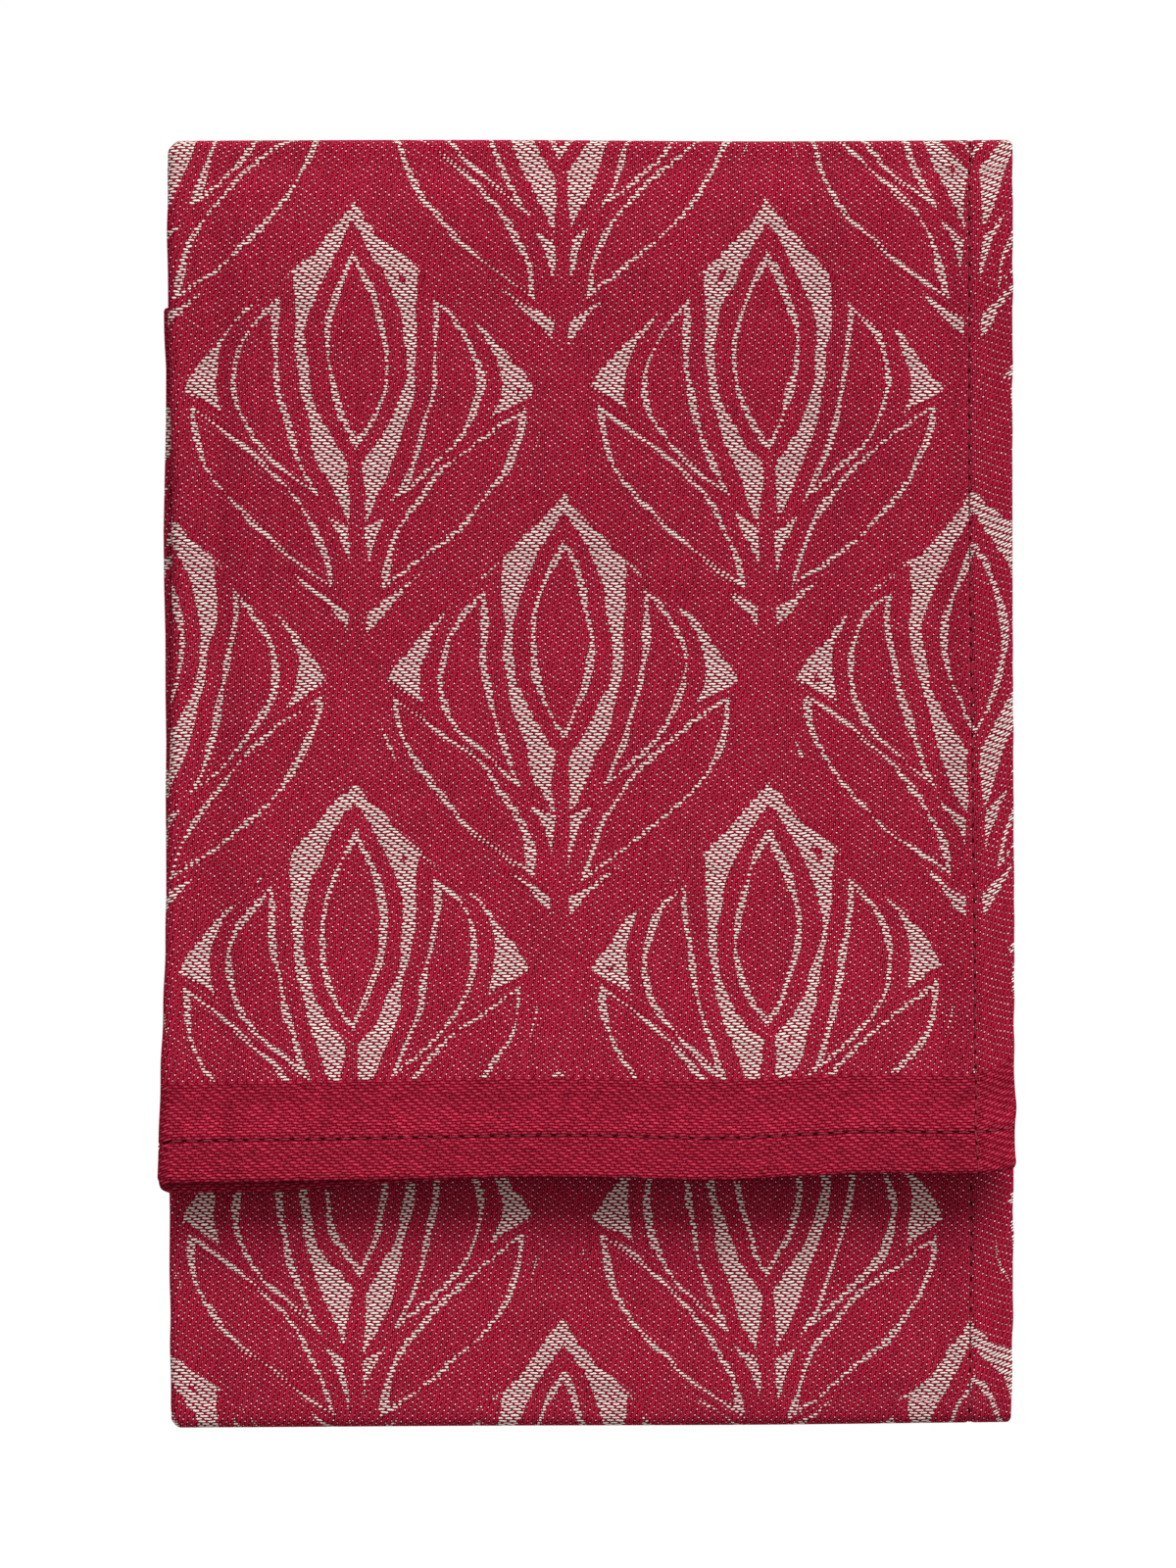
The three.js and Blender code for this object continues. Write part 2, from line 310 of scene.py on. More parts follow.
def layers_at(x, right, from_end, hem):
    """The thickness of each layer, and the height of its top in the pack."""
    plain = THICKNESS + HEM_EXTRA * hem_share(from_end, END_HEM)
    cover_hem = HEM_EXTRA * hem_share(right - x, hem)
    tuck_hem = HEM_EXTRA * np.minimum(hem_share(x - TUCK_EDGE, SIDE_HEM), hem_share(TUCK_EDGE - x, 0))
    eased = HEM_EXTRA * smooth(1 - (x - TUCK_EDGE - SIDE_HEM) / TUCK_EASE) * hem_share(TUCK_EDGE - x, 0)
    back_two = 2 * plain + AIR
    return {
        "back": (plain + 0 * x, plain + 0 * x),
        "tuck": (plain + tuck_hem, back_two + tuck_hem),
        "cover": (plain + cover_hem, back_two + np.maximum(eased, tuck_hem) + COVER_AIR + plain + cover_hem),
    }


def groove(from_line, along_line):
    """How far a line of stitches pulls the right side of the cloth down, deepest at the needle holes."""
    across = smooth(1 - np.abs(from_line) / GROOVE_WIDTH)
    hole = 0.5 + 0.5 * np.cos(2 * math.pi * along_line / STITCH)
    return across * (GROOVE_DEPTH + HOLE_EXTRA * hole)


pack_middle = layers_at(0.0, FOLDED_RIGHT, math.inf, SIDE_HEM)["cover"][1]
print(f"three layers are {pack_middle:.2f} mm high in the middle of the towel")

# %% [markdown]
# ## Small unevenness
# Woven cotton that has been washed and pressed is never flat: it has low, soft swellings a few centimetres
# long, and its edges ripple slightly. A sum of a few long waves in random directions gives that, from a
# seeded generator, so that every run is the same. The swellings only ever rise, so no layer meets another.

# %% Soft swellings and rippled edges
SWELLING_SEED = 27
rng = random.Random(SWELLING_SEED)


def wave_set(count, shortest, longest):
    """Waves in random directions, each with its own length and start."""
    waves = []
    for _ in range(count):
        angle = rng.uniform(0, math.pi)
        number = 2 * math.pi / rng.uniform(shortest, longest)
        waves.append((number * math.cos(angle), number * math.sin(angle), rng.uniform(0, 2 * math.pi)))
    return waves


def swell(waves, x, y):
    """The sum of the waves at a place, about from -1 to 1."""
    total = sum(np.sin(a * x + b * y + start) for a, b, start in waves)
    return total / math.sqrt(2 * len(waves))


SWELL_HEIGHT = 0.2
CREASE_HEIGHT = 0.055
EDGE_RIPPLE = 0.12
long_waves = wave_set(count=7, shortest=26, longest=60)
short_waves = wave_set(count=12, shortest=6, longest=13)
edge_waves = wave_set(count=8, shortest=5, longest=14)
fold_waves = wave_set(count=8, shortest=7, longest=20)
print(len(long_waves) + len(short_waves), "waves swell the cloth")

# %% [markdown]
# ## One section across the pack
# A row of the grid becomes a section of three layers joined by two round folds. Each point knows its layer,
# how deep it is in the cloth, and its height in the pack, but not yet which panel the pack is part of.

# %% The section across
FACING = {"cover": 1, "back": -1, "tuck": 1}


def fold_section(row, depth, sunk):
    """The places across one row: x, height in the pack, and share of the way from cover to back."""
    left, right, under, hem, from_end = (row[k] for k in ("left", "right", "under", "hem", "from_end"))
    near_left = layers_at(left, right, from_end, hem)
    plain = near_left["back"][0]
    left_radius = near_left["cover"][1] / 2
    right_radius = near_left["tuck"][1] / 2
    fold_start = left + left_radius
    fold_end = under - right_radius
    end_round = edge_roundness(from_end, plain)

    def lie(layer, x, from_edge):
        thick, top = layers_at(x, right, from_end, hem)[layer]
        roundness = np.minimum(end_round, edge_roundness(from_edge, thick))
        return x, top - thick / 2 + FACING[layer] * (0.5 - depth) * thick * roundness

    def turn_over(turns, centre, radius, first_angle, pressed):
        angle = first_angle + math.pi * turns
        reach = radius - plain / 2 + (0.5 - depth) * plain * end_round - pressed
        return centre + reach * np.cos(angle), radius + reach * np.sin(angle)

    marks = [0, SIDE_HEM, SIDE_HEM + HEM_ZONE, cover_run]
    from_side = np.interp(cover_places, marks, [0, hem, SIDE_HEM + HEM_ZONE, right - fold_start])
    back_x = fold_start + back_shares * (fold_end - fold_start)
    tuck_x = TUCK_EDGE + tuck_from_edge * (fold_end - TUCK_EDGE) / tuck_run
    cover_x, cover_up = lie("cover", right - from_side, from_side)
    on_arc = sunk[COVER_COUNT : COVER_COUNT + len(left_turns)]
    parts = [
        (cover_x, cover_up - sunk[:COVER_COUNT], 0 * cover_x),
        (*turn_over(left_turns, fold_start, left_radius, math.pi / 2, on_arc), left_turns),
        (*lie("back", back_x, math.inf), 1 + 0 * back_x),
        (*turn_over(right_turns, fold_end, right_radius, -math.pi / 2, 0), 1 + 0 * right_turns),
        (*lie("tuck", tuck_x, tuck_from_edge), 2 + 0 * tuck_x),
    ]
    return (np.concatenate(values) for values in zip(*parts))


# %% [markdown]
# ## Three panels and two end folds
# The pack is laid in three panels, as a strip is. The base panel lies on the surface with its cover side
# down, the lower panel is turned up over it, and the upper panel is turned down over both and comes down
# a soft ramp past the lower panel's end. The upper panel's hem end lifts a little, which throws the
# shadow that shows on the lower panel. It also bridges what lies under it: the lower panel's hem makes no
# step in it, and near the top fold it is puffed and has a low crest, as pressed cloth has.

# %% The panels
TOP_PUFF = 2.0
CREST = 0.4
CREST_RUN = 30.0
CREST_FALL = 7.0
BRIDGE = 80.0


def base_at(x, y):
    """The height of the base panel's pack, and the centres of the two end folds."""
    pack = layers_at(x, curve_through(BASE_EDGES, "right", y), math.inf, SIDE_HEM)["cover"][1]
    top_centre = curve_through(FOLD_LINES, "top", x) - TOP_LOOP - pack
    bottom_centre = curve_through(FOLD_LINES, "bottom", x) + BOTTOM_LOOP + pack
    return pack, top_centre, bottom_centre


def over_lower(x, y):
    """The height of the upper panel over the lower one. It bridges the step at the lower panel's hem."""
    right = curve_through(LOWER_EDGES, "right", y)
    flat = layers_at(x, right, math.inf, SIDE_HEM)["cover"][1]
    return flat + 3 * HEM_EXTRA * smooth((y - LOWER_END + BRIDGE) / (BRIDGE - END_HEM - HEM_EASE))


def hem_end(share, x):
    """Where a layer of the upper panel really ends."""
    cover = curve_through(HEM_ENDS, "cover", x)
    back = curve_through(HEM_ENDS, "back", x)
    end = cover + (back - cover) * np.clip(share, 0, 1)
    return np.where(share > 1, np.maximum(cover, back), end)


def lay_upper(row, x, up, share):
    skew = smooth((UPPER_HEM + SKEW_LENGTH - row["y"]) / SKEW_LENGTH)
    y = row["y"] + (hem_end(share, x) - UPPER_HEM) * skew
    pack, top_centre, _ = base_at(x, y)
    on_lower = pack + AIR + over_lower(x, y) + PANEL_AIR
    at_fold = pack + 2 * TOP_LOOP + TOP_PUFF
    ramp_start = LOWER_END + RAMP_CLEARANCE
    down = np.clip((y - ramp_start) / (top_centre - ramp_start), 0, 1) ** 2
    to_right = (x - FOLDED_LEFT) / (FOLDED_RIGHT - FOLDED_LEFT)
    lift = HEM_LIFT_LEFT + (HEM_LIFT_RIGHT - HEM_LIFT_LEFT) * to_right
    lift = lift * (1 - np.clip((y - UPPER_HEM) / HEM_LIFT_LENGTH, 0, 1)) ** 2
    to_fold = top_centre - y
    crest = CREST * smooth(1 - (to_fold - CREST_FALL) / CREST_RUN) * smooth(to_fold / CREST_FALL)
    return x, y, on_lower + (at_fold - on_lower) * down + lift + crest + up


def lay_base(row, x, up, share):
    pack, top_centre, bottom_centre = base_at(x, FOLDED_TOP + (FOLDED_BOTTOM - FOLDED_TOP) * row["share"])
    return x, top_centre + (bottom_centre - top_centre) * row["share"], pack - up


def lay_lower(row, x, up, share):
    pack, _, bottom_centre = base_at(x, row["y"])
    open_share = 1 - smooth((row["y"] - bottom_centre) / LOOP_EASE)
    gap = AIR + (2 * BOTTOM_LOOP - AIR) * open_share
    return x, np.maximum(row["y"], bottom_centre), pack + gap + up


def lay_fold(row, x, up, share):
    side = 1 if row["panel"] == "top fold" else -1
    pack, top_centre, bottom_centre = base_at(x, side * FOLDED_TOP)
    loop = TOP_LOOP if side > 0 else BOTTOM_LOOP
    centre = top_centre if side > 0 else bottom_centre
    out, over = pressed_round(math.pi * (0.5 - row["turn"]))
    puff = TOP_PUFF * smooth((over + 1) / 2) if side > 0 else 0
    return x, centre + side * (loop + up) * out, pack + loop + side * (loop + up) * over + puff


PANELS = {
    "upper": (UPPER_EDGES, lay_upper),
    "top fold": (BASE_EDGES, lay_fold),
    "base": (BASE_EDGES, lay_base),
    "bottom fold": (BASE_EDGES, lay_fold),
    "lower": (LOWER_EDGES, lay_lower),
}
SECTION_PLACE = {
    "upper": lambda row: row["y"],
    "top fold": lambda row: FOLDED_TOP,
    "base": lambda row: FOLDED_TOP + (FOLDED_BOTTOM - FOLDED_TOP) * row["share"],
    "bottom fold": lambda row: FOLDED_BOTTOM,
    "lower": lambda row: row["y"],
}
FROM_END = {"upper": lambda row: row["v"], "lower": lambda row: CLOTH_LENGTH - row["v"]}

# %% [markdown]
# ## Folding the sheet
# Now each row is folded across and laid in its panel. The cover layer of the parts that show also gets the
# groove of its stitches, the crown of its hem and the soft swellings, which fade out near folds and hems, and
# the left fold rolls down softly near the hem end. The result is one array of points for the right side of
# the cloth and one for the wrong side.

# %% Fold every row
HEM_CROWN = 0.12
RIM_KEPT = 1.2
ROLL_DROP = 1.8
ROLL_WIDTH = 5.5
ROLL_ZONE = 26.0
TOP_CALM = 12.0
LOWER_CALM = 8.0
SHADE_CLEAR = 6.0
FOLD_CLEAR = 3.0
FOLD_CALM = 14.0
HEM_CALM = 10.0
RIPPLE_REACH = 6.0
on_cover = np.arange(len(u_places)) < COVER_COUNT
under_thread = u_places < back_start


def free_above(row):
    """How far the cover layer of a row is free to rise: 1 where nothing lies on it."""
    if row["panel"] == "upper":
        return smooth((FOLDED_TOP - TOP_RADIUS - row["y"]) / TOP_CALM)
    if row["panel"] == "lower":
        before_hem = smooth((UPPER_HEM - SHADE_CLEAR - row["y"]) / LOWER_CALM)
        return before_hem * smooth((row["y"] - lower_start) / LOWER_CALM)
    return 0.0


def stitch_lines(row, from_side):
    """How far the stitches pull the cloth down along one row."""
    sunk = groove(from_side - row["hem"], row["v"])
    if row["panel"] == "upper":
        sunk = np.maximum(sunk, groove(row["from_end"] - END_HEM, u_places))
    from_rim = np.minimum(row["from_end"], u_places)
    return np.where(under_thread, sunk * smooth(from_rim / RIM_KEPT), 0)


def fold_row(row, depth):
    """The points of one row of the grid, at one depth of the cloth."""
    table, lay = PANELS[row["panel"]]
    place = SECTION_PLACE[row["panel"]](row)
    for edge in ("left", "right", "under", "hem"):
        row[edge] = float(curve_through(table, edge, place))
    row["left"] += EDGE_RIPPLE * swell(fold_waves, place, 0)
    row["from_end"] = FROM_END.get(row["panel"], lambda _: math.inf)(row)

    sunk = stitch_lines(row, u_places) * (depth == 0)
    x, up, share = fold_section(row, depth, sunk)
    from_side = np.where(on_cover, row["right"] - x, math.inf)
    rise = SWELL_HEIGHT * (1 + swell(long_waves, x, place))
    rise = rise + CREASE_HEIGHT * (1 + swell(short_waves, x, place))
    rise = rise * smooth((x - row["left"] - FOLD_CLEAR) / FOLD_CALM)
    rise = rise * smooth((from_side - row["hem"]) / HEM_CALM)
    crown = HEM_CROWN * np.sin(math.pi * np.clip(from_side / row["hem"], 0, 1))
    up = up + free_above(row) * np.where(on_cover, rise + crown, 0)
    if row["panel"] == "upper":
        at_left = np.clip(1 - (x - row["left"]) / ROLL_WIDTH, 0, 1) ** 2
        near_end = smooth((ROLL_ZONE - row["from_end"]) / (ROLL_ZONE / 2))
        up = up - ROLL_DROP * at_left * near_end * np.clip(1 - share, 0, 1)
    x = x + EDGE_RIPPLE * swell(edge_waves, row["v"], 0) * smooth(1 - from_side / RIPPLE_REACH)
    return lay(row, x, up, share)


def fold_cloth(depth):
    """All points of one side of the cloth, by row and column."""
    sheet = np.zeros((len(rows), len(u_places), 3))
    for r, row in enumerate(rows):
        sheet[r, :, 0], sheet[r, :, 1], sheet[r, :, 2] = fold_row(row, depth)
    return sheet


both_sides = np.stack([fold_cloth(0), fold_cloth(1)])
print("folded", both_sides[..., 0].size, "points")

# %% [markdown]
# ## Round corners
# Cloth has no sharp corners. Near each corner of the folded towel, and of the hem end that lies on it, every
# point is moved in plan, so that a square corner becomes a quarter of a disc. All layers move alike, so they
# stay in order.

# %% Round the corners in plan
CORNERS = [
    {"at": (-85.6, 130.8), "radius": 2.8, "on": "all"},
    {"at": (-84.9, -131.3), "radius": 1.9, "on": "all"},
    {"at": (86.4, 131.0), "radius": 1.1, "on": "all"},
    {"at": (86.4, -130.1), "radius": 1.3, "on": "all"},
    {"at": (87.2, -78.2), "radius": 1.7, "on": "upper"},
    {"at": (-87.7, -81.3), "radius": 1.4, "on": "upper"},
]


def round_corner(points, corner):
    """Move points from a square corner to a round one, in plan."""
    (x, y), radius = corner["at"], corner["radius"]
    side_x, side_y = math.copysign(1, x), math.copysign(1, y)
    across = np.clip(1 - (x - points[..., 0]) * side_x / radius, 0, 1)
    along = np.clip(1 - (y - points[..., 1]) * side_y / radius, 0, 1)
    points[..., 0] -= side_x * radius * across * (1 - np.sqrt(1 - along**2 / 2))
    points[..., 1] -= side_y * radius * along * (1 - np.sqrt(1 - across**2 / 2))


upper_rows = np.array([row["panel"] == "upper" for row in rows])
for corner in CORNERS:
    chosen = both_sides[:, upper_rows] if corner["on"] == "upper" else both_sides
    round_corner(chosen, corner)
    if corner["on"] == "upper":
        both_sides[:, upper_rows] = chosen
print("rounded", len(CORNERS), "corners")

# %% Set the folded cloth in the shared frame
lowest, highest = both_sides.min(axis=(0, 1, 2)), both_sides.max(axis=(0, 1, 2))
solid_middle = (towel_low + towel_high) / 2
shift = solid_middle - (lowest + highest) / 2
shift[2] = towel_low[2]
both_sides = both_sides + shift
print("folded to", np.round(highest - lowest, 2), "mm, lowest point at", round(lowest[2], 3))

# %% [markdown]
# ## The sheet itself
# The sheet starts as a flat grid, is given a thickness while it is flat, which is easy to get right, and is
# folded last by moving its points. Folding afterwards keeps the two sides and the rim one closed shell.
# First comes how far along the cloth each point lies. Round an end fold this differs from column to column,
# and it is added up from the steps between points.

# %% Where the yarns lie in the end folds
def first_row(panel):
    """The number of a panel's first row."""
    return next(r for r, row in enumerate(rows) if row["panel"] == panel)


def yarns_laid(points):
    """The place along the cloth of each point, so that yarns keep their pitch round the two end folds."""
    steps = np.linalg.norm(np.diff(points, axis=0), axis=2)
    along_cloth = np.repeat(v_places[:, None], len(u_places), axis=1)
    top, base, bottom, lower = (first_row(name) for name in ("top fold", "base", "bottom fold", "lower"))
    along_cloth[top + 1 : base + 1] = along_cloth[top] + np.cumsum(steps[top:base], axis=0)
    round_bottom = np.cumsum(steps[bottom:lower][::-1], axis=0)[::-1]
    along_cloth[bottom:lower] = along_cloth[lower] - round_bottom
    for r in range(base + 1, bottom):
        share = rows[r]["share"]
        along_cloth[r] = along_cloth[base] * (1 - share) + along_cloth[bottom] * share
    return along_cloth


# %% Cut the sheet flat, then fold it
def put_in_scene(name, bm, *materials):
    """Make an object of a bmesh and put it in the scene, with its materials."""
    mesh = bpy.data.meshes.new(name)
    bm.to_mesh(mesh)
    bm.free()
    piece = bpy.data.objects.new(name, mesh)
    bpy.context.scene.collection.objects.link(piece)
    for material in materials:
        mesh.materials.append(material)
    return piece


def flat_sheet():
    """A closed flat sheet whose points lie at whole numbers: column from the right, row, and side."""
    across, lengthwise = len(u_places) - 1, len(rows) - 1
    bm = bmesh.new()
    bmesh.ops.create_grid(bm, x_segments=across, y_segments=lengthwise, size=0.5)
    bmesh.ops.scale(bm, vec=(across, lengthwise, 1), verts=bm.verts)
    bmesh.ops.translate(bm, vec=(-across / 2, lengthwise / 2, 0), verts=bm.verts)
    bmesh.ops.solidify(bm, geom=bm.faces[:], thickness=1)
    bmesh.ops.recalc_face_normals(bm, faces=bm.faces)
    return bm


def station(vertex):
    """The column, row and side of a point of the flat sheet."""
    return round(-vertex.co.x), round(vertex.co.y), int(abs(vertex.co.z) > 0.5)


v_places = np.array([row["v"] for row in rows])
v_map = yarns_laid(both_sides[0])
sheet = flat_sheet()
stations = [station(vertex) for vertex in sheet.verts]
open_edges = sum(len(edge.link_faces) != 2 for edge in sheet.edges)
print("flat sheet:", len(sheet.faces), "faces,", open_edges, "open edges")

# %% [markdown]
# ## The map of the flat cloth
# The weave has to follow the folds, so the sheet carries a map: for each face corner, its place on the flat
# cloth in millimetres, across from the side hem and along from the hem end. Faces of the thin rim get a
# little width on the map, as the yarns run on round the hem's edge. A second value tells the wrong side of
# the cloth, where the colours change places. A hem is turned to the wrong side, so the right side shows
# there.

# %% Write the map, then fold
RIM = 1.2
cloth_map = sheet.loops.layers.uv.new("cloth")
wrong_layer = sheet.verts.layers.float.new("wrong_side")
last_column = len(u_places) - 1
last_row = len(rows) - 1


def beyond_rim(place, last, at_rim):
    """How far the map runs on past the first or last station of a rim face."""
    return (RIM if place == last else -RIM if place == 0 else 0) * at_rim


for face in sheet.faces:
    corners = [stations[loop.vert.index] for loop in face.loops]
    is_rim = len({side for _, _, side in corners}) == 2
    same_column = is_rim and len({column for column, _, _ in corners}) == 1
    same_row = is_rim and not same_column
    for loop, (column, row, side) in zip(face.loops, corners):
        u = u_places[column] + beyond_rim(column, last_column, side * same_column)
        v = v_map[row, column] + beyond_rim(row, last_row, side * same_row)
        loop[cloth_map].uv = (u, v)

for vertex, (column, row, side) in zip(sheet.verts, stations):
    u, v = u_places[column], v_places[row]
    in_side_hem = min(u, CLOTH_WIDTH - u) < SIDE_HEM
    in_end_hem = min(v, CLOTH_LENGTH - v) < END_HEM
    vertex[wrong_layer] = float(side == 1 and not in_side_hem and not in_end_hem)
    vertex.co = Vector(both_sides[side, row, column]) * MM

for face in sheet.faces:
    face.smooth = True
print("the map runs to", round(u_places[-1], 2), "by", round(v_places[-1], 2), "mm")

# %% [markdown]
# ## Hem stitches
# The hems are sewn with a thread as red as the cloth, in straight stitches about 3 mm long. What catches the
# eye is the thread's small rise between two dark needle holes. Each stitch is a slim spindle with its ends
# sunk in the groove. A place on the folded cloth comes from the sheet's own points, so the stitches follow
# every fold: round the top fold, under the towel and up again round the bottom fold.

# %% Places on the folded cloth
FRAME_STEP = 0.6


def on_cloth(u, v):
    """The point of the right side at a place of the flat cloth, between the grid's own points."""
    column = np.interp(u, u_places, np.arange(len(u_places)))
    row = np.interp(v, v_map[:, round(column)], np.arange(len(v_places)))
    c, r = min(int(column), last_column - 1), min(int(row), last_row - 1)
    s, t = column - c, row - r
    near = both_sides[0, r, c] * (1 - s) + both_sides[0, r, c + 1] * s
    far = both_sides[0, r + 1, c] * (1 - s) + both_sides[0, r + 1, c + 1] * s
    return Vector(near * (1 - t) + far * t)


def thread_frame(u, v, along):
    """The directions of a stitch at a place: along the thread, across it, and out of the cloth."""
    du, dv = FRAME_STEP * along[0], FRAME_STEP * along[1]
    run = on_cloth(u + du, v + dv) - on_cloth(u - du, v - dv)
    aside = on_cloth(u - dv, v + du) - on_cloth(u + dv, v - du)
    run.normalize()
    out = aside.cross(run).normalized()
    return run, out.cross(run), out


# %% Sew the hems
THREAD_LENGTH = 2.5
THREAD_WIDTH = 0.36
THREAD_HEIGHT = 0.32
THREAD_RISE = 0.06
THREAD_FACETS = 6
THREAD_VARIES = (0.92, 1.06)
OUT_IS_UP = 6.0
LOWER_SEWN_END = CLOTH_LENGTH - LOWER_END + UPPER_HEM - 1
SEWING_SEED = 5

threads = bmesh.new()
sewing = random.Random(SEWING_SEED)


def sew_stitch(u, v, along):
    """Add one stitch, lying along a direction of the flat cloth."""
    run, aside, out = thread_frame(u, v, along)
    if out.z < 0 and abs(on_cloth(u, v).z - towel_low[2]) > OUT_IS_UP:
        out = -out
    length = THREAD_LENGTH * sewing.uniform(*THREAD_VARIES)
    middle = on_cloth(u, v) + out * THREAD_RISE
    turn = Matrix((aside * THREAD_WIDTH, out * THREAD_HEIGHT, run * length)).transposed().to_4x4()
    place = Matrix.Translation(middle * MM) @ Matrix.Scale(MM, 4) @ turn
    bmesh.ops.create_uvsphere(
        threads, u_segments=THREAD_FACETS, v_segments=THREAD_FACETS, radius=0.5, matrix=place
    )
    return 1


side_seam = np.arange(HALF_STITCH, LOWER_SEWN_END, STITCH)
end_seam = np.arange(HALF_STITCH, cover_run + left_turn_run, STITCH)
count = sum(sew_stitch(SIDE_HEM, v, (0, 1)) for v in side_seam)
count += sum(sew_stitch(u, END_HEM, (1, 0)) for u in end_seam)
print(count, "stitches")

# %% [markdown]
# ## Formulas in nodes
# The weave is worked out from the map by arithmetic. Wiring nearly three hundred Math nodes by hand would
# hide the idea, so a wire is given a number's manners: adding two wires adds a Math node. The material's
# formulas can then be written and read as formulas.

# %% Wires that add up
class Wire:
    """One value in a material. Arithmetic on wires adds Math nodes."""

    def __init__(self, socket):
        self.socket = socket

    def __add__(self, other):
        return math_node("ADD", self, other)

    def __sub__(self, other):
        return math_node("SUBTRACT", self, other)

    def __rsub__(self, other):
        return math_node("SUBTRACT", other, self)

    def __mul__(self, other):
        return math_node("MULTIPLY", self, other)

    def __truediv__(self, other):
        return math_node("DIVIDE", self, other)

    def __lt__(self, other):
        return math_node("LESS_THAN", self, other)

    def __gt__(self, other):
        return math_node("GREATER_THAN", self, other)

    def __abs__(self):
        return math_node("ABSOLUTE", self)

    __radd__ = __add__
    __rmul__ = __mul__


operations = [name for name, method in vars(Wire).items() if callable(method) and name != "__init__"]
print("a wire knows", len(operations), "of a number's operations")


# %% Nodes and the formulas' own functions
def plug(value, socket):
    """Give a socket a wire, or a plain value."""
    if isinstance(value, Wire):
        socket.id_data.links.new(value.socket, socket)
    else:
        socket.default_value = value


def add_node(kind, settings=(), **values):
    """Add a node to the material being made, with its settings and its inputs by name."""
    node = making.nodes.new(kind)
    for name, value in dict(settings).items():
        setattr(node, name, value)
    for name, value in values.items():
        plug(value, node.inputs[name.replace("_", " ")])
    return node


def math_node(operation, *values):
    node = add_node("ShaderNodeMath", {"operation": operation})
    for value, socket in zip(values, node.inputs):
        plug(value, socket)
    return Wire(node.outputs[0])


def floor(value):
    return math_node("FLOOR", value)


def least(a, b):
    return math_node("MINIMUM", a, b)


def most(a, b):
    return math_node("MAXIMUM", a, b)


def wrapped(value, length):
    """The value's place in a repeat of this length, from 0 up to it."""
    return math_node("FLOORED_MODULO", value, length)


# %% Blends, places and noise
def blend(a, b, share):
    """From a to b by a share from 0 to 1."""
    node = add_node("ShaderNodeMix", {"data_type": "FLOAT"})
    for value, socket in zip((share, a, b), (node.inputs[0], node.inputs[2], node.inputs[3])):
        plug(value, socket)
    return Wire(node.outputs[0])


def blend_colour(a, b, share):
    """From colour a to colour b by a share. A Mix node takes its colours at inputs 6 and 7."""
    node = add_node("ShaderNodeMix", {"data_type": "RGBA"})
    for value, socket in zip((share, a, b), (node.inputs[0], node.inputs[6], node.inputs[7])):
        plug(value, socket)
    return Wire(node.outputs[2])


def clamped(value):
    """The value, kept from 0 to 1."""
    return Wire(add_node("ShaderNodeClamp", Value=value).outputs[0])


def place(x, y, z=0.0):
    return Wire(add_node("ShaderNodeCombineXYZ", X=x, Y=y, Z=z).outputs[0])


def noise_at(x, y, size, detail=0.0):
    """Soft noise about as coarse as size, from -1 to 1, and three more of its kind as a colour."""
    settings = {"noise_dimensions": "2D"}
    node = add_node("ShaderNodeTexNoise", settings, Vector=place(x, y), Scale=1 / size, Detail=detail)
    return Wire(node.outputs[0]) * 2.0 - 1.0, Wire(node.outputs[1])


def chance(x, y):
    """A different random value from 0 to 1 for each pair of whole numbers."""
    node = add_node("ShaderNodeTexWhiteNoise", {"noise_dimensions": "2D"}, Vector=place(x, y))
    return Wire(node.outputs[0])


# %% [markdown]
# ## The figure in the cloth
# Damask shows its figure where the cream yarns come up through the red ground. The figure here is a plain
# old one, drawn for this towel: an ogee trellis, red bands that swing together and apart, and in each opening
# a palmette of five red petals on a stem. The cream is what is left between them, and a thin broken line
# inside each petal.
# The trellis needs no picture: a cosine gives the half-width of an opening at each height, and the distance
# to it gives a band of any width. Each petal is a bent centre line and a width along it.
# Noise bends everything a little, and swells and breaks the cream, like the strokes of a brush.

# %% The trellis and the sprig
REPEAT_ACROSS = 84.0
REPEAT_ALONG = 118.0
TRELLIS_AT = (50.0, 36.0)
BAND_HALF = 4.2
STROKE_SIZE = 9.0
EDGE_VARIES = 0.8
SHAPES_SWELL = 0.25
GROUND_WIDTH = 4.0
GROUND_VARIES = 2.0
LINE_IN = 3.8
LINE_HALF = 0.66
LINE_VARIES = 0.7
WOBBLE = 2.6
WOBBLE_SIZE = 17.0
STROKE_APART = 300.0

# Each petal: where it starts along the cloth and how long it is, how far its foot and its tip are from the
# sprig's middle, how far it bows outwards, its half-width, and how much fuller its foot is.
PETALS = [
    {"start": -9.0, "length": 49.0, "foot": 0.0, "tip": 0.0, "bow": 0.0, "half": 9.8, "fuller": 0.3},
    {"start": -22.0, "length": 52.0, "foot": 1.2, "tip": 13.0, "bow": 12.6, "half": 8.6, "fuller": -0.2},
    {"start": -38.0, "length": 45.0, "foot": 1.6, "tip": 37.0, "bow": 0.5, "half": 10.6, "fuller": -0.1},
]
STEM = {"start": -66.0, "length": 70.0, "foot": 0.0, "tip": 0.0, "bow": 0.0, "half": 1.6, "fuller": -0.2}
print(f"a palmette every {REPEAT_ACROSS:.0f} mm across and {REPEAT_ALONG:.0f} mm along")


def outside_petal(x, y, petal):
    """How far a place is outside a petal, measured across the cloth."""
    t = (y - petal["start"]) * (1 / petal["length"])
    hump = t * (1.0 - t) * 4.0
    middle = t * (petal["tip"] - petal["foot"]) + hump * petal["bow"] + petal["foot"]
    half = hump * (petal["half"] * (1 + petal["fuller"] / 2) - t * (petal["half"] * petal["fuller"]))
    return abs(x - middle) - half


